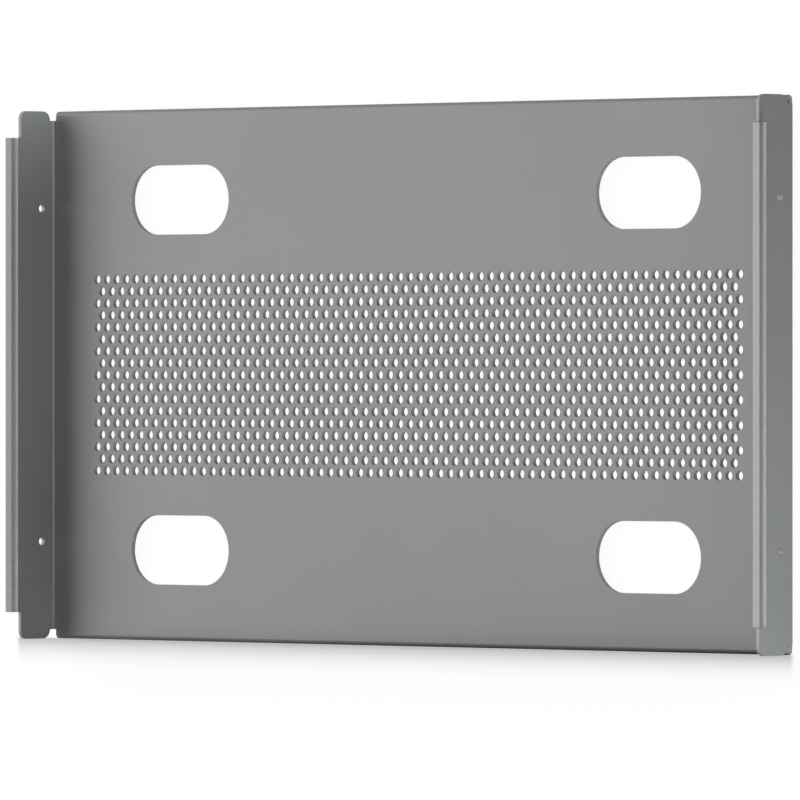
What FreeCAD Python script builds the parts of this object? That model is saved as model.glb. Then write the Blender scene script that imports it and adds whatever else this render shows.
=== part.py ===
"""Vented rack shelf: one sheet of steel, punched and folded into a shallow tray.

X is the width, Y the depth and Z up. The shelf lies as it is used, with the deck level and the
side flanges up, and stands on the undersides of its front and rear hems at Z = 0. Sizes are in mm.
"""
import FreeCAD, Part
import math
import os

Vec = FreeCAD.Vector

# Sheet and folds
sheet = 2.0
bend_inner_radius = 0.4

# Body, over the outer faces of the flanges and over the hems
body_width = 443.0
body_depth = 230.0
hem_return = 10.0

# Side flanges, from the underside of the deck to the free edge of their end tabs
flange_rise = 21.4
flange_top_corner = 3.5
flange_low_corner = 4.0
flange_hole_diameter = 3.4
flange_hole_spacing = 145.2
flange_hole_height = 7.0

# Relief between the side bends and the hems, at the four corners of the deck
relief_depth = 4.0
relief_width = 1.2
relief_rise = 2.0

# Runner lips along the middle of the flanges, and the rib on each
lip_end_inset = 11.7
lip_reach = 5.7
lip_corner_radius = 0.4
rib_width = 3.85
rib_height = 2.0

# Openings for cables, one in each quarter of the deck
opening_length = 60.0
opening_width = 30.0
opening_spacing_x = 280.0
opening_spacing_y = 151.4

# Round perforations in staggered rows across the middle of the deck
hole_diameter = 4.0
hole_pitch = 6.0
hole_rows = 17
holes_in_long_row = 65

# Derived positions
bend_outer_radius = bend_inner_radius + sheet
half_width = body_width / 2
half_depth = body_depth / 2
inner_face = half_width - sheet
deck_bottom = sheet
deck_top = deck_bottom + sheet
flat_half_width = half_width - bend_outer_radius
flat_half_depth = half_depth - sheet
hem_half_width = inner_face - relief_width
bend_half_length = half_depth - relief_depth
flange_foot = deck_bottom + bend_outer_radius
relief_top = deck_top + relief_rise
tab_edge = deck_bottom + flange_rise
lip_half_length = half_depth - lip_end_inset
lip_start = tab_edge - bend_inner_radius
lip_top = tab_edge + sheet


def arc(start, middle, end):
    """Edge of a circle through three points."""
    return Part.Arc(start, middle, end).toShape()


def on_circle(centre, radius, angle, across, up):
    """Point on a circle in the plane of the two given directions, angle in degrees."""
    turn = math.radians(angle)
    return centre + across * (radius * math.cos(turn)) + up * (radius * math.sin(turn))


def quarter(centre, radius, first_angle, last_angle, across, up):
    """Arc of a circle between two angles in the plane of the two given directions."""
    middle_angle = (first_angle + last_angle) / 2
    return arc(
        on_circle(centre, radius, first_angle, across, up),
        on_circle(centre, radius, middle_angle, across, up),
        on_circle(centre, radius, last_angle, across, up),
    )


def closed_wire(edges):
    """Wire through the edges in order, with straight lines where two of them don't meet."""
    parts = []
    for index, edge in enumerate(edges):
        after = edges[(index + 1) % len(edges)]
        parts.append(edge)
        end = edge.valueAt(edge.LastParameter)
        start = after.valueAt(after.FirstParameter)
        if end.distanceToPoint(start) > 1e-6:
            parts.append(Part.makeLine(end, start))
    return Part.Wire(parts)


def circle_wire(centre, radius, axis):
    """Closed circle around an axis."""
    return Part.Wire([Part.makeCircle(radius, centre, axis)])


def obround_wire(x, y, z, length, width):
    """Closed outline of a slot along X with fully round ends, at height z."""
    across = Vec(1, 0, 0)
    along = Vec(0, 1, 0)
    radius = width / 2
    reach = (length - width) / 2
    right_end = quarter(Vec(x + reach, y, z), radius, -90, 90, across, along)
    left_end = quarter(Vec(x - reach, y, z), radius, 90, 270, across, along)
    return closed_wire([right_end, left_end])


def punched_face(outline, hole_wires):
    """Flat face inside an outline, less the holes. All wires run the same way round."""
    wires = [outline]
    for wire in hole_wires:
        wire.reverse()
        wires.append(wire)
    return Part.Face(wires)


def perforation_wires(z):
    """Circles of the perforated band, every second row shorter by one hole and shifted by half a pitch."""
    row_pitch = hole_pitch * math.sqrt(3) / 2
    wires = []
    for row in range(hole_rows):
        y = (row - (hole_rows - 1) / 2) * row_pitch
        count = holes_in_long_row - row % 2
        for column in range(count):
            x = (column - (count - 1) / 2) * hole_pitch
            wires.append(circle_wire(Vec(x, y, z), hole_diameter / 2, Vec(0, 0, 1)))
    return wires


def make_deck():
    """Flat of the deck up to the lines where the folds start, with every hole punched."""
    corners = [
        Vec(flat_half_width, -bend_half_length, deck_bottom),
        Vec(flat_half_width, bend_half_length, deck_bottom),
        Vec(hem_half_width, bend_half_length, deck_bottom),
        Vec(hem_half_width, flat_half_depth, deck_bottom),
        Vec(-hem_half_width, flat_half_depth, deck_bottom),
        Vec(-hem_half_width, bend_half_length, deck_bottom),
        Vec(-flat_half_width, bend_half_length, deck_bottom),
        Vec(-flat_half_width, -bend_half_length, deck_bottom),
        Vec(-hem_half_width, -bend_half_length, deck_bottom),
        Vec(-hem_half_width, -flat_half_depth, deck_bottom),
        Vec(hem_half_width, -flat_half_depth, deck_bottom),
        Vec(hem_half_width, -bend_half_length, deck_bottom),
    ]
    outline = Part.makePolygon(corners + corners[:1])
    wires = perforation_wires(deck_bottom)
    for side in (-1, 1):
        for end in (-1, 1):
            x = side * opening_spacing_x / 2
            y = end * opening_spacing_y / 2
            wires.append(obround_wire(x, y, deck_bottom, opening_length, opening_width))
    return punched_face(outline, wires).extrude(Vec(0, 0, sheet))


def make_rear_hem():
    """Edge of the deck turned under through a half circle and pressed flat against it."""
    x = -hem_half_width
    hem_edge = half_depth - hem_return
    nose = quarter(Vec(x, flat_half_depth, sheet), sheet, -90, 90, Vec(0, 1, 0), Vec(0, 0, 1))
    fold_line = Part.makeLine(Vec(x, flat_half_depth, deck_top), Vec(x, flat_half_depth, deck_bottom))
    free_edge = Part.makeLine(Vec(x, hem_edge, deck_bottom), Vec(x, hem_edge, 0))
    return Part.Face(closed_wire([nose, fold_line, free_edge])).extrude(Vec(2 * hem_half_width, 0, 0))


def make_right_bend():
    """Fold from the deck up into the right flange, between the corner reliefs."""
    across = Vec(1, 0, 0)
    up = Vec(0, 0, 1)
    centre = Vec(flat_half_width, -bend_half_length, flange_foot)
    outer = quarter(centre, bend_outer_radius, -90, 0, across, up)
    inner = quarter(centre, bend_inner_radius, 0, -90, across, up)
    return Part.Face(closed_wire([outer, inner])).extrude(Vec(0, 2 * bend_half_length, 0))


def make_right_flange():
    """Upright of the right side with rounded end tabs, open along the middle for the lip."""
    x = inner_face
    along = Vec(0, 1, 0)
    up = Vec(0, 0, 1)
    low_y = half_depth - flange_low_corner
    low_z = relief_top + flange_low_corner
    top_y = half_depth - flange_top_corner
    top_z = tab_edge - flange_top_corner
    lip_floor = Part.makeLine(Vec(x, lip_half_length, lip_start), Vec(x, -lip_half_length, lip_start))
    rear_step = Part.makeLine(Vec(x, lip_half_length, tab_edge), Vec(x, lip_half_length, lip_start))
    front_step = Part.makeLine(Vec(x, -lip_half_length, lip_start), Vec(x, -lip_half_length, tab_edge))
    foot = Part.makePolygon([
        Vec(x, -bend_half_length, relief_top),
        Vec(x, -bend_half_length, flange_foot),
        Vec(x, bend_half_length, flange_foot),
        Vec(x, bend_half_length, relief_top),
    ])
    outline = closed_wire([
        quarter(Vec(x, -low_y, low_z), flange_low_corner, 180, 270, along, up),
        foot.Edges[0],
        foot.Edges[1],
        foot.Edges[2],
        quarter(Vec(x, low_y, low_z), flange_low_corner, -90, 0, along, up),
        quarter(Vec(x, top_y, top_z), flange_top_corner, 0, 90, along, up),
        rear_step,
        lip_floor,
        front_step,
        quarter(Vec(x, -top_y, top_z), flange_top_corner, 90, 180, along, up),
    ])
    holes = []
    for end in (-1, 1):
        centre = Vec(x, end * flange_hole_spacing / 2, deck_top + flange_hole_height)
        holes.append(circle_wire(centre, flange_hole_diameter / 2, Vec(1, 0, 0)))
    return punched_face(outline, holes).extrude(Vec(sheet, 0, 0))


def make_right_lip():
    """Middle of the right flange turned outward as a square-edged runner, with the rib that stands on it."""
    y = -lip_half_length
    across = Vec(1, 0, 0)
    up = Vec(0, 0, 1)
    lip_edge = half_width + lip_reach
    corner = Vec(inner_face + lip_corner_radius, y, lip_top - lip_corner_radius)
    outer = quarter(corner, lip_corner_radius, 180, 90, across, up)
    free_edge = Part.makeLine(Vec(lip_edge, y, lip_top), Vec(lip_edge, y, tab_edge))
    centre = Vec(half_width + bend_inner_radius, y, lip_start)
    inner = quarter(centre, bend_inner_radius, 90, 180, across, up)
    foot = Part.makeLine(Vec(half_width, y, lip_start), Vec(inner_face, y, lip_start))
    section = Part.Face(closed_wire([outer, free_edge, inner, foot]))
    lip = section.extrude(Vec(0, 2 * lip_half_length, 0))
    rib_foot = sheet / 2
    rib = Part.makeBox(
        rib_width,
        2 * lip_half_length,
        rib_foot + rib_height,
        Vec(half_width, y, lip_top - rib_foot),
    )
    return lip.fuse(rib)


across_middle = Vec(1, 0, 0)
along_middle = Vec(0, 1, 0)
origin = Vec(0, 0, 0)

rear_hem = make_rear_hem()
front_hem = rear_hem.mirror(origin, along_middle)
right_side = [make_right_bend(), make_right_flange(), make_right_lip()]
left_side = [piece.mirror(origin, across_middle) for piece in right_side]

shelf = make_deck().multiFuse([rear_hem, front_hem] + right_side + left_side).Solids[0]

os.makedirs("parts", exist_ok=True)
shelf.exportStep("parts/shelf.step")
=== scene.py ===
import math

import bpy
import numpy as np
from mathutils import Matrix, Vector
from mathutils.geometry import delaunay_2d_cdt
from mathutils.kdtree import KDTree


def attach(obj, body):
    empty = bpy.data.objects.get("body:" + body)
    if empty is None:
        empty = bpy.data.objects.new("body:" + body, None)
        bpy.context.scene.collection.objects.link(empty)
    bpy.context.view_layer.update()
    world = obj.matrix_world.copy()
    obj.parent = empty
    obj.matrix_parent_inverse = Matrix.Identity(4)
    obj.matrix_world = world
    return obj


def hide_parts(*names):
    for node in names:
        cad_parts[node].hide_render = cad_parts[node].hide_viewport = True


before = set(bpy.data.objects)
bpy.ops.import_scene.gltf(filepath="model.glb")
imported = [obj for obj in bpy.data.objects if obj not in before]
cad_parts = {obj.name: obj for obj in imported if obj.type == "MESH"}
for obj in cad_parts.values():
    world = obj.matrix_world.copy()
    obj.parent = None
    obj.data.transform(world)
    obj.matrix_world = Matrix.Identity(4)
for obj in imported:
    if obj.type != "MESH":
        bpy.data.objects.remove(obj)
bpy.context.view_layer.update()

MM = 0.001

# Sizes of the part in mm, the same as in its source
SHEET = 2.0
BEND_INNER = 0.4
BODY_WIDTH = 443.0
BODY_DEPTH = 230.0
HEM_RETURN = 10.0
FLANGE_RISE = 21.4
FLANGE_TOP_CORNER = 3.5
FLANGE_LOW_CORNER = 4.0
FLANGE_HOLE = 3.4
FLANGE_HOLE_SPACING = 145.2
FLANGE_HOLE_HEIGHT = 7.0
RELIEF_DEPTH = 4.0
RELIEF_WIDTH = 1.2
RELIEF_RISE = 2.0
LIP_END_INSET = 11.7
LIP_REACH = 5.7
LIP_CORNER = 0.4
RIB_WIDTH = 3.85
RIB_HEIGHT = 2.0
OPENING_LENGTH = 60.0
OPENING_WIDTH = 30.0
OPENING_SPACING_X = 280.0
OPENING_SPACING_Y = 151.4
HOLE = 4.0
PITCH = 6.0
ROWS = 17
LONG_ROW = 65

# How far the edges are rounded, in mm
EDGE_ROUND = 0.25
SLOT_ROUND = 0.15
HOLE_ROUND = 0.08
RIB_ROUND = 0.12

# The slit at each end of a lip, the gap inside a hem, and how far a rib sinks into its lip, in mm
LIP_SLIT = 0.2
HEM_GAP = 0.04
RIB_SINK = 0.2

# Steps in each curve of the mesh, and those of a lip's bend that lie straight on each side of its corner
BEND_STEPS = 8
LIP_STRAIGHT_STEPS = 3
HEM_STEPS = 12
CORNER_STEPS = 8
HOLE_STEPS = 16
FLANGE_HOLE_STEPS = 32
OPENING_STEPS = 32
RIB_CORNER_STEPS = 3

# How close shading lines run to a corner or a fold, in mm, and the turn that makes a corner sharp
CORNER_GAP = 0.3
FOLD_FADE = 0.3
SHARP_TURN = math.radians(30)

# How near counts as the same place, in mm: in comparisons, and when points, vents and triangles are welded
SAME = 0.001
POINT_WELD = 0.0005
VENT_WELD = 0.01
TRIANGLE_WELD = 0.00001

# Painted light and shade on the coat, standing in for how light falls on the shelf: 1 is the palest painted
# highlight,
# 0 is the plain coat, and below 0 it is painted shade. A pair holds the left and the right, or for a groove
# beside a rib the rear and the front.
LIP_HIGHLIGHT = 1.0
FOLD_HIGHLIGHT = 0.3
REAR_HEM_SHADE = -0.17
FRONT_HEM_LIGHT_AND_SHADE = (0.06, -0.3)
CUT_EDGE_HIGHLIGHT = 0.09
RIGHT_TAB_HIGHLIGHT = 0.27
RIGHT_LIP_EDGE_SHADE = -0.1
HEM_CORNER_HIGHLIGHT = 0.22
OPENING_WALL_HIGHLIGHT = 0.42
VENT_WALL_LIGHT = (0.38, 0.13)
LEFT_RIB_HIGHLIGHT = 0.05
LEFT_GROOVE_HIGHLIGHT = (0.05, 0.38)
RIGHT_RIB_HIGHLIGHT = 0.345
RIGHT_GROOVE_SHADE = (0.0, -0.35)

# Share of the way round a lip's corner where its painted highlight starts, and how much paler a vent's rear
# wall is painted than its front, as if lit from the front
LIP_HIGHLIGHT_START = 0.6
VENT_LEAN = 0.45

# Coat: its tones, the tones of its painted highlights and its painted shade, its gloss, and the span that
# most values of a noise lie in
COAT_TONES = ((0.272, 0.288, 0.284, 1), (0.292, 0.308, 0.303, 1))
PAINTED_HIGHLIGHT_TONE = (0.94, 0.955, 0.95, 1)
PAINTED_SHADE_TONE = (0.08, 0.084, 0.083, 1)
SPECULAR = 0.5
NOISE_SPAN = (0.3, 0.7)

# Noises in the coat, by their grains to the metre: clouds in its tone, patches in its painted highlights,
# and an orange peel that is PEEL_DEPTH mm deep
CLOUD_SCALE = 14.0
CLOUD_DETAIL = 3.0
PATCH_SCALE = 220.0
PATCH_DETAIL = 4.0
PATCH_SHARE = (0.85, 1.0)
PEEL_SCALE = 1400.0
PEEL_DETAIL = 2.0
PEEL_ROUGHNESS = (0.40, 0.52)
PEEL_STRENGTH = 0.12
PEEL_DEPTH = 0.04

# Places of the sockets on a colour mix node
MIX_SHARE = 0
MIX_FIRST = 6
MIX_SECOND = 7
MIX_RESULT = 2

# Colour of the studio, and the strength of the even light from all round
WHITE = (1, 1, 1, 1)
AMBIENT = 0.06

# Floor: half its width in metres, its drop below the shelf in mm, and its paint where it is seen, where it
# lights the shelf, and where it does so under the painted shade
FLOOR_REACH = 20.0
FLOOR_DROP = 0.1
FLOOR_SEEN = 1.75
FLOOR_GREY = 0.22
FLOOR_DARK = 0.05

# The floor's own glow: its share near the shelf, and the distances in metres between which it rises to 1
NEAR_GLOW = 0.95
GLOW_RISE = (0.30, 0.55)

# Painted soft shade on the floor along the front of the shelf, in metres: how far it reaches, half the
# width of its start, and where it rises from 0 to 1 at its left and right ends
SHADE_REACH = 0.0165
SHADE_START = 0.0004
SHADE_LEFT = (-0.2478, -0.2452)
SHADE_RIGHT = (0.2195, 0.2165)

# How steeply the painted shade fades, and its colour where it is darkest
SHADE_POWER = 3.0
SHADE_TONE = (0.434, 0.465, 0.457, 1)

# Dark card in front of the shelf, in metres: x, y and height of its foot at each end, the height of its
# top, and its paint
FLAG_LEFT = (-0.222, -0.1185, 0.002)
FLAG_RIGHT = (0.2212, -0.1155, 0.0005)
FLAG_TOP = 0.042
FLAG_TONE = 0.03

# Camera: its tilt from straight down, its distance, reach and aim in metres, its sensor in mm, and in
# pixels the picture's size, the focal length and the row of the picture that the camera's axis meets
CAMERA_ANGLE = math.radians(45.0)
CAMERA_DISTANCE = 4.9335
CAMERA_REACH = 100.0
AIM_X = -0.0066
SENSOR = 36.0
PICTURE = 800
FOCAL_PIXELS = 11639.0
AXIS_ROW = 374.43

# Places and sizes that follow from those of the part
HALF_SHEET = SHEET / 2
HALF_WIDTH = BODY_WIDTH / 2
HALF_DEPTH = BODY_DEPTH / 2
ROW_PITCH = PITCH * math.sqrt(3) / 2
LONG_ROWS = (ROWS + 1) // 2
DECK_BOTTOM = SHEET
DECK_MIDDLE = DECK_BOTTOM + HALF_SHEET
DECK_TOP = DECK_BOTTOM + SHEET
BEND_MID = BEND_INNER + HALF_SHEET
INNER_FACE = HALF_WIDTH - SHEET
FLAT_X = INNER_FACE - BEND_INNER
FLAT_Y = HALF_DEPTH - SHEET
HEM_X = INNER_FACE - RELIEF_WIDTH
BEND_Y = HALF_DEPTH - RELIEF_DEPTH
FLANGE_FOOT = DECK_TOP + BEND_INNER
TAB_EDGE = DECK_BOTTOM + FLANGE_RISE
LIP_START = TAB_EDGE - BEND_INNER
LIP_TOP = TAB_EDGE + SHEET
LIP_Y = HALF_DEPTH - LIP_END_INSET

# Distances along the sheet, laid out flat, from the line where the side fold starts
ARC = BEND_MID * math.pi / 2
RELIEF_END = ARC + DECK_TOP + RELIEF_RISE - FLANGE_FOOT
FLANGE_HOLE_AT = ARC + DECK_TOP + FLANGE_HOLE_HEIGHT - FLANGE_FOOT
FLANGE_END = ARC + LIP_START - FLANGE_FOOT
TAB_END = ARC + TAB_EDGE - FLANGE_FOOT
LIP_FLAT = FLANGE_END + ARC
LIP_END = LIP_FLAT + LIP_REACH - BEND_INNER

# Hem: the radius of the sheet's middle, the length round its nose, and its free edge in the flat sheet
HEM_MID = (SHEET + HEM_GAP) / 2
HEM_ARC = math.pi * HEM_MID
HEM_END = FLAT_Y + HEM_ARC + HEM_RETURN - SHEET


def lip_corner(share):
    """Square upper corner of the lip, by share of the way round it: width, height and slope there."""
    low = LIP_STRAIGHT_STEPS / BEND_STEPS
    high = 1 - low
    side_top = LIP_TOP - LIP_CORNER
    crown_start = INNER_FACE + LIP_CORNER
    if share <= low:
        return INNER_FACE, LIP_START + share / low * (side_top - LIP_START), math.pi / 2
    if share >= high:
        crown_end = HALF_WIDTH + BEND_INNER
        return crown_start + (share - high) / low * (crown_end - crown_start), LIP_TOP, 0.0
    turn = (high - share) / (high - low) * math.pi / 2
    return crown_start - LIP_CORNER * math.sin(turn), side_top + LIP_CORNER * math.cos(turn), turn


def fold(x, y, w):
    """Place a point of the flat sheet in the folded shelf.

    x and y lie in the flat sheet. w runs through it, from -1 on the lower face to 1 on the upper.
    Returns the point, and the directions of x, y and w there.
    """
    side = math.copysign(1.0, x)
    end = math.copysign(1.0, y)
    run = abs(x) - FLAT_X
    over = abs(y) - FLAT_Y
    turn = 0.0
    dip = 0.0
    depth = abs(y)
    if over > 0 and abs(x) <= HEM_X + SAME:
        dip = min(over / HEM_MID, math.pi)
        radius = HEM_MID + w * (SHEET - HEM_MID)
        width = abs(x)
        depth = FLAT_Y + radius * math.sin(dip) - max(over - HEM_ARC, 0.0)
        height = DECK_BOTTOM + radius * math.cos(dip)
    elif run <= 0:
        width = abs(x)
        height = DECK_MIDDLE + w * HALF_SHEET
    elif run <= ARC:
        turn = run / BEND_MID
        radius = BEND_MID - w * HALF_SHEET
        width = FLAT_X + radius * math.sin(turn)
        height = FLANGE_FOOT - radius * math.cos(turn)
    elif run <= FLANGE_END or abs(y) > LIP_Y + SAME:
        turn = math.pi / 2
        width = HALF_WIDTH - HALF_SHEET - w * HALF_SHEET
        height = FLANGE_FOOT + run - ARC
    else:
        share = min((run - FLANGE_END) / ARC, 1.0)
        turn = (1 - share) * math.pi / 2
        under_width = HALF_WIDTH + BEND_INNER - BEND_INNER * math.sin(turn)
        under_height = LIP_START + BEND_INNER * math.cos(turn)
        over_width, over_height, over_turn = lip_corner(share)
        blend = (1 + w) / 2
        width = under_width + blend * (over_width - under_width) + max(run - LIP_FLAT, 0.0)
        height = under_height + blend * (over_height - under_height)
        if w > 0:
            turn = over_turn
    point = (side * width, end * depth, height)
    across = (math.cos(turn), 0.0, side * math.sin(turn))
    along = (0.0, math.cos(dip), -end * math.sin(dip))
    up = (-side * math.sin(turn), end * math.sin(dip), math.cos(turn) * math.cos(dip))
    return np.array(point), np.array(across), np.array(along), np.array(up)


def arc_points(cx, cy, radius, first, last, steps):
    """Points along an arc, both ends included, angles in degrees."""
    angles = np.radians(np.linspace(first, last, steps + 1))
    return [(cx + radius * math.cos(a), cy + radius * math.sin(a)) for a in angles]


def circle_points(cx, cy, radius, steps):
    """Points round a circle, clockwise."""
    return arc_points(cx, cy, radius, 360, 0, steps)[:-1]


def quarter_outline():
    """Edge of the flat sheet from the rear end of the right lip to the right end of the rear hem."""
    points = [(FLAT_X + LIP_END, LIP_Y)]
    for step in range(BEND_STEPS, -1, -1):
        points.append((FLAT_X + FLANGE_END + ARC * step / BEND_STEPS, LIP_Y))
    points.append((FLAT_X + FLANGE_END, LIP_Y + LIP_SLIT))
    points.append((FLAT_X + TAB_END, LIP_Y + LIP_SLIT))
    top = FLANGE_TOP_CORNER
    points += arc_points(FLAT_X + TAB_END - top, HALF_DEPTH - top, top, 0, 90, CORNER_STEPS)
    low = FLANGE_LOW_CORNER
    low_x = FLAT_X + RELIEF_END + low
    points += arc_points(low_x, HALF_DEPTH - low, low, 90, 180, CORNER_STEPS)[:-1]
    points.append((FLAT_X + RELIEF_END, BEND_Y))
    points.append((FLAT_X + ARC + FOLD_FADE, BEND_Y))
    for step in range(BEND_STEPS, -1, -1):
        points.append((FLAT_X + ARC * step / BEND_STEPS, BEND_Y))
    points.append((FLAT_X - FOLD_FADE, BEND_Y))
    points.append((HEM_X, BEND_Y))
    for step in range(HEM_STEPS + 1):
        points.append((HEM_X, FLAT_Y + HEM_ARC * step / HEM_STEPS))
    points.append((HEM_X, HEM_END))
    return points


def crisp(ring):
    """The ring with a point close to each side of every sharp corner, so that shading turns only there."""
    result = []
    for before, here, after in zip(ring[-1:] + ring[:-1], ring, ring[1:] + ring[:1]):
        here = np.array(here)
        back = np.array(before) - here
        ahead = np.array(after) - here
        back_length = np.linalg.norm(back)
        ahead_length = np.linalg.norm(ahead)
        sharp = np.dot(back, ahead) > -math.cos(SHARP_TURN) * back_length * ahead_length
        if sharp and back_length > 2 * CORNER_GAP:
            result.append(here + back * (CORNER_GAP / back_length))
        result.append(here)
        if sharp and ahead_length > 2 * CORNER_GAP:
            result.append(here + ahead * (CORNER_GAP / ahead_length))
    return result


def sheet_outline():
    """Edge of the whole flat sheet, counter-clockwise."""
    part = quarter_outline()
    upper = part + [(-x, y) for x, y in reversed(part)]
    return crisp(upper + [(-x, -y) for x, y in upper])


def fold_lines(edge):
    """Pairs of points on the sheet's edge that a fold runs between, by their numbers."""
    count = len(edge)
    half = count // 2
    pairs = []
    for number, (x, y) in enumerate(edge):
        beside = y in (BEND_Y, LIP_Y) and abs(x) > FLAT_X - FOLD_FADE - SAME
        if beside:
            pairs.append((number, count - 1 - number))
        if abs(x) == HEM_X and abs(y) >= FLAT_Y:
            across = half - 1 - number if number < half else half + count - 1 - number
            pairs.append((number, across))
    return pairs


def opening_outline(x, y):
    """Edge of a round-ended cable opening, clockwise."""
    radius = OPENING_WIDTH / 2
    reach = (OPENING_LENGTH - OPENING_WIDTH) / 2
    points = arc_points(x + reach, y, radius, -90, 90, OPENING_STEPS)
    points += arc_points(x - reach, y, radius, 90, 270, OPENING_STEPS)
    return points[::-1]


def vent_outline():
    """Stepped edge of the perforated band, clockwise, through every corner of its cells."""
    half = LONG_ROW * PITCH / 2
    base = -ROWS * ROW_PITCH / 2
    right = []
    for row in range(ROWS):
        x = half - (row % 2) * PITCH / 2
        right += [(x, base + row * ROW_PITCH), (x, base + (row + 1) * ROW_PITCH)]
    rear = [(half - PITCH / 2 * step, -base) for step in range(1, 2 * LONG_ROW)]
    left = [(-x, -y) for x, y in right]
    front = [(-x, -y) for x, y in rear]
    return (right + rear + left + front)[::-1]


def edge_normals(points):
    """Outward direction at each corner of an outline, scaled so that it offsets both edges by one."""
    points = np.array(points)
    ahead = np.roll(points, -1, axis=0) - points
    ahead /= np.linalg.norm(ahead, axis=1)[:, None]
    behind = np.roll(ahead, 1, axis=0)
    out_ahead = np.stack([ahead[:, 1], -ahead[:, 0]], axis=1)
    out_behind = np.stack([behind[:, 1], -behind[:, 0]], axis=1)
    total = out_ahead + out_behind
    return total / (1 + (out_ahead * out_behind).sum(axis=1))[:, None]


def inside(points, ring):
    """Which points lie inside a closed ring."""
    ring = np.array(ring)
    after = np.roll(ring, -1, axis=0)
    result = np.zeros(len(points), bool)
    for (ax, ay), (bx, by) in zip(ring, after):
        crosses = (ay > points[:, 1]) != (by > points[:, 1])
        if by != ay:
            result ^= crosses & (points[:, 0] < (bx - ax) * (points[:, 1] - ay) / (by - ay) + ax)
    return result


def flat_triangles(rings, extra_edges):
    """Points and triangles that fill the first ring, apart from the rings inside it."""
    points = []
    edges = []
    for ring in rings:
        first = len(points)
        points += [Vector(p) for p in ring]
        edges += [(first + i, first + (i + 1) % len(ring)) for i in range(len(ring))]
    found = delaunay_2d_cdt(points, edges + extra_edges, [], 0, TRIANGLE_WELD)
    verts = np.array([tuple(v) for v in found[0]])
    faces = np.array([tuple(f) for f in found[2]])
    middle = verts[faces].mean(axis=1)
    keep = inside(middle, rings[0])
    for ring in rings[1:]:
        keep &= ~inside(middle, ring)
    corner = verts[faces]
    turn = np.cross(corner[:, 1] - corner[:, 0], corner[:, 2] - corner[:, 0])
    faces[turn < 0] = faces[turn < 0][:, ::-1]
    return verts, faces[keep]


class Surface:
    """Points, faces, normals and marks of painted light and shade of a mesh that grows piece by piece, in
    mm.
    """

    def __init__(self):
        self.points = []
        self.normals = []
        self.painted_light = []
        self.faces = []

    def add(self, point, normal, painted_light=0.0):
        """New point, and its number."""
        self.points.append(tuple(point))
        self.normals.append(tuple(normal))
        self.painted_light.append(painted_light)
        return len(self.points) - 1

    def fill(self, index, faces, upward):
        """Faces over the numbered points, turned up or down."""
        for face in faces:
            corners = [index[i] for i in face]
            self.faces.append(tuple(corners if upward else corners[::-1]))

    def join(self, levels):
        """Bands of quads between rings of points, from the lowest ring to the highest."""
        for low, high in zip(levels, levels[1:]):
            for i in range(len(low)):
                j = (i + 1) % len(low)
                self.faces.append((low[i], low[j], high[j], high[i]))

    def first_at_place(self):
        """For each point, the number of the first point that lies at the same place."""
        tree = KDTree(len(self.points))
        for number, point in enumerate(self.points):
            tree.insert(point, number)
        tree.balance()
        return [min(hit[1] for hit in tree.find_range(point, POINT_WELD)) for point in self.points]

    def mesh(self, name):
        """Mesh in metres, with points that share a place welded together."""
        first = self.first_at_place()
        kept, index = np.unique(first, return_inverse=True)
        faces = []
        for face in self.faces:
            corners = list(dict.fromkeys(int(index[i]) for i in face))
            if len(corners) > 2:
                faces.append(corners)
        mesh = bpy.data.meshes.new(name)
        mesh.from_pydata((np.array(self.points)[kept] * MM).tolist(), [], faces)
        # Marks of painted light and shade, kept on the points
        marks = mesh.attributes.new("painted_light", "FLOAT", "POINT")
        marks.data.foreach_set("value", np.array(self.painted_light)[kept])
        mesh.shade_smooth()
        mesh.normals_split_custom_set_from_vertices(np.array(self.normals)[kept].tolist())
        return mesh


def face_painted_light(x, y, w):
    """Painted light and shade on a face of the sheet: on its upper side, along the hems, the folds and the
    lips.
    """
    run = abs(x) - FLAT_X
    if w < 0:
        return 0.0
    if abs(x) <= HEM_X + SAME and abs(y) > FLAT_Y + SAME:
        front_left, front_right = FRONT_HEM_LIGHT_AND_SHADE
        front = front_right if x > 0 else front_left
        return REAR_HEM_SHADE if y > 0 else front
    if run > FLANGE_END + LIP_HIGHLIGHT_START * ARC:
        return LIP_HIGHLIGHT
    if -SAME < run < ARC + SAME:
        return FOLD_HIGHLIGHT
    return 0.0


def add_face(surface, x, y, w):
    """Point on the upper or lower face of the folded sheet."""
    point, across, along, up = fold(x, y, w)
    return surface.add(point, up * w, face_painted_light(x, y, w))


def edge_painted_light(x, y):
    """Painted light and shade on the sheet's outer edge, by its place in the flat sheet."""
    run = x - FLAT_X
    if x > HEM_X - SAME and y > BEND_Y + SAME and run < 0:
        return HEM_CORNER_HIGHLIGHT
    if run > TAB_END + SAME:
        return RIGHT_LIP_EDGE_SHADE
    if run > RELIEF_END:
        return RIGHT_TAB_HIGHLIGHT
    return CUT_EDGE_HIGHLIGHT


def add_wall(surface, ring, rounding, painted_lights):
    """Cut wall of the folded sheet along a ring, with painted light and shade by place, and both of its
    edges rounded.
    """
    normals = edge_normals(ring)
    inset = np.array(ring) - normals * rounding
    rim = 1 - rounding / HALF_SHEET
    levels = [[add_face(surface, x, y, -1) for x, y in inset]]
    for w in (-rim, rim):
        index = []
        for (x, y), (nx, ny), painted_light in zip(ring, normals, painted_lights):
            point, across, along, up = fold(x, y, w)
            out = across * nx + along * ny
            index.append(surface.add(point, out / np.linalg.norm(out), painted_light))
        levels.append(index)
    levels.append([add_face(surface, x, y, 1) for x, y in inset])
    surface.join(levels)
    return inset


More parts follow.
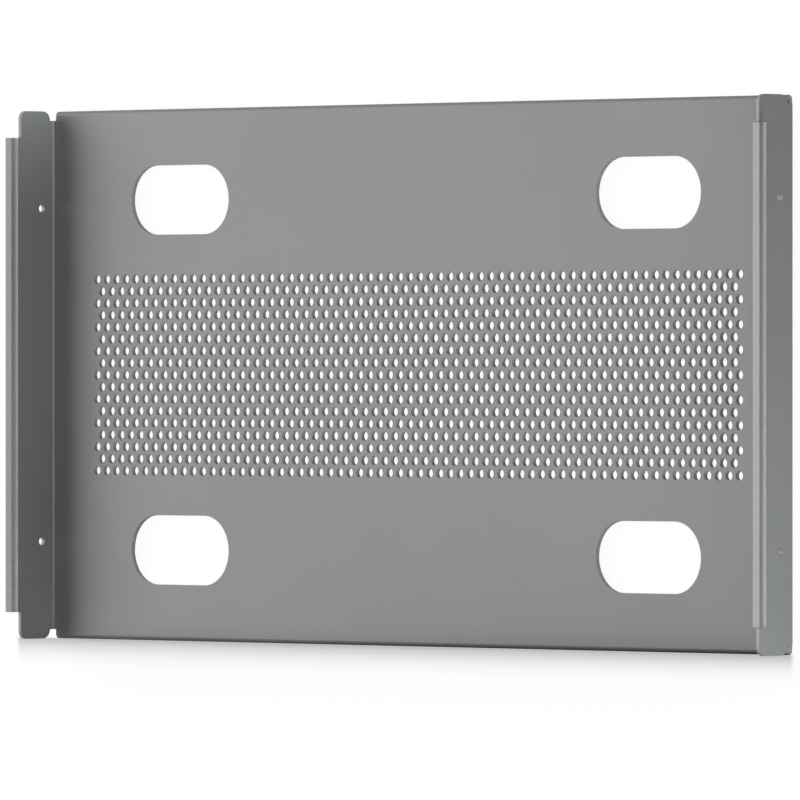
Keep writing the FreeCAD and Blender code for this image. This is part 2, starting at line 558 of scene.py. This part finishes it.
def add_sheet(surface):
    """The folded sheet, apart from the perforated band."""
    edge = sheet_outline()
    rings = [add_wall(surface, edge, EDGE_ROUND, [edge_painted_light(x, y) for x, y in edge])]
    for side in (-1, 1):
        for end in (-1, 1):
            opening = opening_outline(side * OPENING_SPACING_X / 2, end * OPENING_SPACING_Y / 2)
            # The walls of the openings and the flange holes carry a painted highlight
            rings.append(add_wall(surface, opening, SLOT_ROUND, [OPENING_WALL_HIGHLIGHT] * len(opening)))
            hole_x = side * (FLAT_X + FLANGE_HOLE_AT)
            hole_y = end * FLANGE_HOLE_SPACING / 2
            hole = circle_points(hole_x, hole_y, FLANGE_HOLE / 2, FLANGE_HOLE_STEPS)
            rings.append(add_wall(surface, hole, HOLE_ROUND, [CUT_EDGE_HIGHLIGHT] * len(hole)))
    verts, faces = flat_triangles(rings + [vent_outline()], fold_lines(edge))
    for w in (1, -1):
        index = [add_face(surface, x, y, w) for x, y in verts]
        surface.fill(index, faces, w > 0)


def rounded_box(low_x, high_x, low_y, high_y, radius):
    """Outline of a rectangle with its corners rounded, counter-clockwise."""
    middles = (
        (high_x - radius, high_y - radius),
        (low_x + radius, high_y - radius),
        (low_x + radius, low_y + radius),
        (high_x - radius, low_y + radius),
    )
    points = []
    for number, (x, y) in enumerate(middles):
        points += arc_points(x, y, radius, 90 * number, 90 * number + 90, RIB_CORNER_STEPS)
    return points


def add_rib(surface, side, top_painted_light, groove_painted_light):
    """The raised rib on one runner lip, sunk a little into the lip, with a painted highlight on its top and
    painted light and shade on its sides.
    """
    foot = LIP_TOP - RIB_SINK
    top = LIP_TOP + RIB_HEIGHT
    low_x, high_x = sorted((side * HALF_WIDTH, side * (HALF_WIDTH + RIB_WIDTH)))
    reach = LIP_Y - SAME
    ring = rounded_box(low_x, high_x, -reach, reach, RIB_ROUND)
    normals = edge_normals(ring)
    inset = np.array(ring) - normals * RIB_ROUND
    rear_painted_light, front_painted_light = groove_painted_light
    levels = []
    for height in (foot, top - RIB_ROUND):
        index = []
        for (x, y), (nx, ny) in zip(ring, normals):
            painted_light = rear_painted_light if y > 0 else front_painted_light
            index.append(surface.add((x, y, height), (nx, ny, 0), painted_light))
        levels.append(index)
    levels.append([surface.add((x, y, top), (0, 0, 1), top_painted_light) for x, y in inset])
    surface.join(levels)
    surface.faces.append(tuple(levels[-1]))
    surface.faces.append(tuple(levels[0][::-1]))


def vent_cell():
    """One cell of the perforated band: a rectangle of deck with a round hole and rounded edges."""
    surface = Surface()
    x = PITCH / 2
    y = ROW_PITCH / 2
    border = [(-x, -y), (0, -y), (x, -y), (x, y), (0, y), (-x, y)]
    circle = circle_points(0, 0, HOLE / 2, HOLE_STEPS)
    wide = circle_points(0, 0, HOLE / 2 + HOLE_ROUND, HOLE_STEPS)
    verts, faces = flat_triangles([border, wide], [])
    for height, up in ((DECK_TOP, 1), (DECK_BOTTOM, -1)):
        index = [surface.add((px, py, height), (0, 0, up)) for px, py in verts]
        surface.fill(index, faces, up > 0)
    levels = []
    for line, height in (
        (wide, DECK_BOTTOM),
        (circle, DECK_BOTTOM + HOLE_ROUND),
        (circle, DECK_TOP - HOLE_ROUND),
        (wide, DECK_TOP),
    ):
        levels.append([surface.add((px, py, height), (0, 0, 1)) for px, py in line])
    surface.join(levels)
    return surface.mesh("vent_cell")


def add_node(tree, kind, inputs=None, **settings):
    """New node with its settings, and with each input joined to an output or set to a value."""
    made = tree.nodes.new(kind)
    for name, value in settings.items():
        setattr(made, name, value)
    for field, value in (inputs or {}).items():
        if isinstance(value, bpy.types.NodeSocket):
            tree.links.new(value, made.inputs[field])
        else:
            made.inputs[field].default_value = value
    return made


def worked(tree, operation, first, second=0.0):
    """Output of a math node."""
    return add_node(tree, "ShaderNodeMath", {0: first, 1: second}, operation=operation).outputs["Value"]


def ranged(tree, source, given, wanted):
    """Output that carries one range of values over to another and stops at its ends."""
    fields = {
        "Value": source,
        "From Min": given[0],
        "From Max": given[1],
        "To Min": wanted[0],
        "To Max": wanted[1],
    }
    return add_node(tree, "ShaderNodeMapRange", fields).outputs["Result"]


def noise(tree, place, scale, detail):
    """Output of a noise texture."""
    fields = {"Vector": place, "Scale": scale, "Detail": detail}
    return add_node(tree, "ShaderNodeTexNoise", fields).outputs["Fac"]


def blended(tree, share, first, second):
    """Output of a node that mixes two colours, with the share kept between 0 and 1."""
    fields = {MIX_SHARE: share, MIX_FIRST: first, MIX_SECOND: second}
    return add_node(tree, "ShaderNodeMix", fields, data_type="RGBA").outputs[MIX_RESULT]


def mixed(tree, share, first, second):
    """Output of a node that mixes two shaders."""
    return add_node(tree, "ShaderNodeMixShader", {0: share, 1: first, 2: second}).outputs["Shader"]


def matt(tree, level):
    """Matt white or grey paint."""
    return add_node(tree, "ShaderNodeBsdfDiffuse", {"Color": (level, level, level, 1)}).outputs["BSDF"]


def vent_tree():
    """Geometry nodes that lay a cell out in staggered rows and weld the cells into one band."""
    tree = bpy.data.node_groups.new("vent_rows", "GeometryNodeTree")
    for name, kind in (
        ("Cell", "Geometry"),
        ("Pitch", "Float"),
        ("Long Row Spacing", "Float"),
        ("Holes in Long Row", "Int"),
        ("Long Rows", "Int"),
        ("Finish", "Material"),
    ):
        tree.interface.new_socket(name, in_out="INPUT", socket_type="NodeSocket" + kind)
    tree.interface.new_socket("Band", in_out="OUTPUT", socket_type="NodeSocketGeometry")
    given = tree.nodes.new("NodeGroupInput").outputs
    rows = tree.nodes.new("GeometryNodeJoinGeometry")
    for fewer in (0, 1):
        holes = worked(tree, "SUBTRACT", given["Holes in Long Row"], fewer)
        lines = worked(tree, "SUBTRACT", given["Long Rows"], fewer)
        width = worked(tree, "MULTIPLY", worked(tree, "SUBTRACT", holes, 1.0), given["Pitch"])
        depth = worked(tree, "MULTIPLY", worked(tree, "SUBTRACT", lines, 1.0), given["Long Row Spacing"])
        sizes = {"Size X": width, "Size Y": depth, "Vertices X": holes, "Vertices Y": lines}
        grid = add_node(tree, "GeometryNodeMeshGrid", sizes)
        cells = {"Points": grid.outputs["Mesh"], "Instance": given["Cell"]}
        place = add_node(tree, "GeometryNodeInstanceOnPoints", cells)
        tree.links.new(place.outputs["Instances"], rows.inputs["Geometry"])
    real = add_node(tree, "GeometryNodeRealizeInstances", {"Geometry": rows.outputs["Geometry"]})
    weld = {"Geometry": real.outputs["Geometry"], "Distance": VENT_WELD * MM}
    band = add_node(tree, "GeometryNodeMergeByDistance", weld)
    finish = {"Geometry": band.outputs["Geometry"], "Material": given["Finish"]}
    coated = add_node(tree, "GeometryNodeSetMaterial", finish)
    add_node(tree, "NodeGroupOutput", {"Band": coated.outputs["Geometry"]})
    return tree


def vent_band(coat):
    """Plain mesh of the perforated band."""
    maker = bpy.data.objects.new("vent_band", vent_cell())
    bpy.context.scene.collection.objects.link(maker)
    modifier = maker.modifiers.new("rows", "NODES")
    modifier.node_group = vent_tree()
    given = {
        "Pitch": PITCH * MM,
        "Long Row Spacing": 2 * ROW_PITCH * MM,
        "Holes in Long Row": LONG_ROW,
        "Long Rows": LONG_ROWS,
        "Finish": coat,
    }
    for socket in modifier.node_group.interface.items_tree:
        if socket.name in given:
            modifier[socket.identifier] = given[socket.name]
    graph = bpy.context.evaluated_depsgraph_get()
    mesh = bpy.data.meshes.new_from_object(maker.evaluated_get(graph))
    bpy.data.objects.remove(maker)
    return mesh


def vent_painted_light(x, inward_y):
    """Painted light on the wall of a vent hole: paler to the left, and paler at its rear than its front, as
    if lit from the front.
    """
    left_painted_light, right_painted_light = VENT_WALL_LIGHT
    share = x / (LONG_ROW * PITCH) + 0.5
    return left_painted_light + share * (right_painted_light - left_painted_light) - VENT_LEAN * inward_y


def add_vents(surface, coat):
    """The perforated band, with its points' normals worked out from the hole that each belongs to."""
    mesh = vent_band(coat)
    first = len(surface.points)
    for vertex in mesh.vertices:
        x, y, z = vertex.co / MM
        if z > DECK_TOP - SAME:
            surface.add((x, y, z), (0, 0, 1))
        elif z < DECK_BOTTOM + SAME:
            surface.add((x, y, z), (0, 0, -1))
        else:
            row = round(y / ROW_PITCH)
            shift = (row + ROWS // 2) % 2 * PITCH / 2
            column = round((x - shift) / PITCH)
            inward = Vector((column * PITCH + shift - x, row * ROW_PITCH - y, 0)).normalized()
            # Each vent wall point gets painted light by its place round its hole
            surface.add((x, y, z), inward, vent_painted_light(x, inward.y))
    for face in mesh.polygons:
        surface.faces.append(tuple(first + i for i in face.vertices))
    bpy.data.meshes.remove(mesh)


def coat_material():
    """Satin grey coat with a fine orange peel and an uneven tone, with painted highlights and painted shade
    from the painted light mark of its points.
    """
    material = bpy.data.materials.new("grey_coat")
    material.use_nodes = True
    tree = material.node_tree
    shader = tree.nodes["Principled BSDF"]
    shader.inputs["Metallic"].default_value = 0.0
    shader.inputs["Specular IOR Level"].default_value = SPECULAR
    place = tree.nodes.new("ShaderNodeTexCoord").outputs["Object"]

    cloud = noise(tree, place, CLOUD_SCALE, CLOUD_DETAIL)
    tone = add_node(tree, "ShaderNodeValToRGB", {"Fac": cloud})
    for stop, position, colour in zip(tone.color_ramp.elements, NOISE_SPAN, COAT_TONES):
        stop.position = position
        stop.color = colour

    # Painted light: above 0 the point's mark mixes in a painted highlight, below 0 a painted shade
    painted_light = add_node(tree, "ShaderNodeAttribute", attribute_name="painted_light").outputs["Fac"]
    patch = noise(tree, place, PATCH_SCALE, PATCH_DETAIL)
    highlight_share = worked(tree, "MULTIPLY", painted_light, ranged(tree, patch, NOISE_SPAN, PATCH_SHARE))
    highlighted = blended(tree, highlight_share, tone.outputs["Color"], PAINTED_HIGHLIGHT_TONE)
    painted_shade_share = worked(tree, "MULTIPLY", painted_light, -1.0)
    tree.links.new(blended(tree, painted_shade_share, highlighted, PAINTED_SHADE_TONE), shader.inputs["Base Color"])

    peel = noise(tree, place, PEEL_SCALE, PEEL_DETAIL)
    tree.links.new(ranged(tree, peel, (0.0, 1.0), PEEL_ROUGHNESS), shader.inputs["Roughness"])
    relief = {"Height": peel, "Strength": PEEL_STRENGTH, "Distance": PEEL_DEPTH * MM}
    bump = add_node(tree, "ShaderNodeBump", relief)
    tree.links.new(bump.outputs["Normal"], shader.inputs["Normal"])
    return material


def make_shelf():
    """The whole shelf as one mesh, in place of the plain solid."""
    coat = coat_material()
    surface = Surface()
    add_sheet(surface)
    add_vents(surface, coat)
    # Each rib has its own painted highlight on its top and painted light and shade on its sides
    add_rib(surface, -1, LEFT_RIB_HIGHLIGHT, LEFT_GROOVE_HIGHLIGHT)
    add_rib(surface, 1, RIGHT_RIB_HIGHLIGHT, RIGHT_GROOVE_SHADE)
    shelf = bpy.data.objects.new("shelf_sheet", surface.mesh("shelf_sheet"))
    bpy.context.scene.collection.objects.link(shelf)
    shelf.data.materials.append(coat)
    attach(shelf, "root")
    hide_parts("shelf")


def seen_white(tree):
    """Share that is 1 for what the camera sees, straight, in a gloss or through glass."""
    path = tree.nodes.new("ShaderNodeLightPath").outputs
    mirrored = worked(tree, "MAXIMUM", path["Is Glossy Ray"], path["Is Transmission Ray"])
    return worked(tree, "MAXIMUM", path["Is Camera Ray"], mirrored)


def painted_front_shade(tree, place):
    """Share of the painted soft shade on the floor along the front of the shelf, darkest at its edge."""
    front = -HALF_DEPTH * MM
    apart = add_node(tree, "ShaderNodeSeparateXYZ", {0: place}).outputs
    fade = ranged(tree, apart["Y"], (front - SHADE_REACH, front), (0.0, 1.0))
    ahead = ranged(tree, apart["Y"], (front + SHADE_START, front - SHADE_START), (0.0, 1.0))
    left = ranged(tree, apart["X"], SHADE_LEFT, (0.0, 1.0))
    right = ranged(tree, apart["X"], SHADE_RIGHT, (0.0, 1.0))
    shade = worked(tree, "MULTIPLY", worked(tree, "POWER", fade, SHADE_POWER), ahead)
    return worked(tree, "MULTIPLY", shade, worked(tree, "MULTIPLY", left, right))


def floor_material():
    """Floor seen as white, with a faint real shadow and the painted soft shade, that lights the shelf as
    grey paint, darker under the painted shade.
    """
    material = bpy.data.materials.new("floor_white")
    material.use_nodes = True
    tree = material.node_tree
    tree.nodes.clear()
    place = tree.nodes.new("ShaderNodeTexCoord").outputs["Object"]
    shade = painted_front_shade(tree, place)
    reach = add_node(tree, "ShaderNodeVectorMath", {0: place}, operation="LENGTH").outputs["Value"]
    share = ranged(tree, reach, GLOW_RISE, (NEAR_GLOW, 1.0))
    light = {"Color": blended(tree, shade, WHITE, SHADE_TONE), "Strength": 1.0}
    glow = add_node(tree, "ShaderNodeEmission", light).outputs["Emission"]
    seen = mixed(tree, share, matt(tree, FLOOR_SEEN), glow)
    dark = mixed(tree, shade, matt(tree, FLOOR_GREY), matt(tree, FLOOR_DARK))
    whole = mixed(tree, seen_white(tree), dark, seen)
    add_node(tree, "ShaderNodeOutputMaterial", {"Surface": whole})
    return material


def flag_material():
    """Nearly black matt paint."""
    material = bpy.data.materials.new("flag_black")
    material.use_nodes = True
    tree = material.node_tree
    tree.nodes.clear()
    add_node(tree, "ShaderNodeOutputMaterial", {"Surface": matt(tree, FLAG_TONE)})
    return material


def stage_sheet(name, corners, material):
    """Flat sheet with four corners, for the stage."""
    mesh = bpy.data.meshes.new(name)
    mesh.from_pydata(corners, [], [(0, 1, 2, 3)])
    mesh.materials.append(material)
    sheet = bpy.data.objects.new(name, mesh)
    bpy.context.scene.collection.objects.link(sheet)
    return sheet


def make_floor():
    """Wide pale floor just below the shelf."""
    reach = FLOOR_REACH
    corners = [(-reach, -reach, 0), (reach, -reach, 0), (reach, reach, 0), (-reach, reach, 0)]
    floor = stage_sheet("floor", corners, floor_material())
    floor.location = (0, 0, -FLOOR_DROP * MM)


def make_flag():
    """Dark card along the front of the shelf that keeps light off its edge, out of the camera's sight."""
    left_x, left_y, left_foot = FLAG_LEFT
    right_x, right_y, right_foot = FLAG_RIGHT
    corners = [
        (left_x, left_y, left_foot),
        (right_x, right_y, right_foot),
        (right_x, right_y, FLAG_TOP),
        (left_x, left_y, FLAG_TOP),
    ]
    flag = stage_sheet("flag", corners, flag_material())
    flag.visible_camera = False


def make_world():
    """White backdrop, with a faint even light from all round."""
    world = bpy.data.worlds.new("studio")
    bpy.context.scene.world = world
    world.use_nodes = True
    tree = world.node_tree
    tree.nodes.clear()
    light = add_node(tree, "ShaderNodeBackground", {"Color": WHITE, "Strength": AMBIENT})
    white = add_node(tree, "ShaderNodeBackground", {"Color": WHITE, "Strength": 1.0})
    both = mixed(tree, seen_white(tree), light.outputs["Background"], white.outputs["Background"])
    add_node(tree, "ShaderNodeOutputWorld", {"Surface": both})


def make_lamp(name, toward, distance, size, watts, aim=(0, 0, 0), spread=180):
    """Soft rectangular lamp that looks at a point from the given direction.

    Its distance, its size and the point are in metres, and the spread of its beam is in degrees.
    """
    lamp = bpy.data.lights.new(name, "AREA")
    lamp.shape = "RECTANGLE"
    lamp.size, lamp.size_y = size
    lamp.energy = watts
    lamp.spread = math.radians(spread)
    holder = bpy.data.objects.new(name, lamp)
    direction = Vector(toward).normalized()
    holder.location = Vector(aim) + direction * distance
    holder.rotation_euler = direction.to_track_quat("Z", "Y").to_euler()
    bpy.context.scene.collection.objects.link(holder)


def make_lamps():
    """Two wide lamps, two smaller ones from the right, and two narrow beams by the left flange's ends."""
    make_lamp("key", toward=(-0.74, 0.20, 0.62), distance=3.0, size=(2.6, 2.7), watts=64.0)
    make_lamp("top", toward=(0.10, 0.75, 0.65), distance=3.0, size=(2.0, 2.0), watts=3.0)
    make_lamp("front", toward=(0.71, 0.0, 0.71), distance=2.5, size=(0.5, 0.5), watts=8.5)
    make_lamp("side", toward=(0.60, -0.26, 0.12), distance=0.664, size=(0.3, 0.25), watts=1.22)
    make_lamp(
        "grid",
        toward=(1.0, 0.16, 0.08),
        distance=1.4,
        size=(0.04, 0.04),
        watts=0.02,
        aim=(-0.22, 0.17, 0.02),
        spread=7,
    )
    make_lamp(
        "tab",
        toward=(1.0, 0.10, 0.22),
        distance=1.4,
        size=(0.04, 0.04),
        watts=0.026,
        aim=(-0.22, -0.19, 0.02),
        spread=10,
    )


def make_camera():
    """Camera that looks down on the deck from its right, with the shelf's depth upward in the picture."""
    data = bpy.data.cameras.new("camera")
    data.sensor_width = SENSOR
    data.lens = SENSOR * FOCAL_PIXELS / PICTURE
    data.shift_y = (AXIS_ROW - (PICTURE - 1) / 2) / PICTURE
    data.clip_end = CAMERA_REACH
    camera = bpy.data.objects.new("camera", data)
    bpy.context.scene.collection.objects.link(camera)
    back = Vector((math.sin(CAMERA_ANGLE), 0, math.cos(CAMERA_ANGLE)))
    right = Vector((math.cos(CAMERA_ANGLE), 0, -math.sin(CAMERA_ANGLE)))
    up = Vector((0, 1, 0))
    aim = Vector((AIM_X, 0, DECK_MIDDLE * MM))
    turned = Matrix((right, up, back)).transposed().to_4x4()
    camera.matrix_world = Matrix.Translation(aim + back * CAMERA_DISTANCE) @ turned
    bpy.context.scene.camera = camera


make_shelf()
make_floor()
make_flag()
make_world()
make_lamps()
make_camera()
bpy.context.scene.view_settings.view_transform = "Standard"
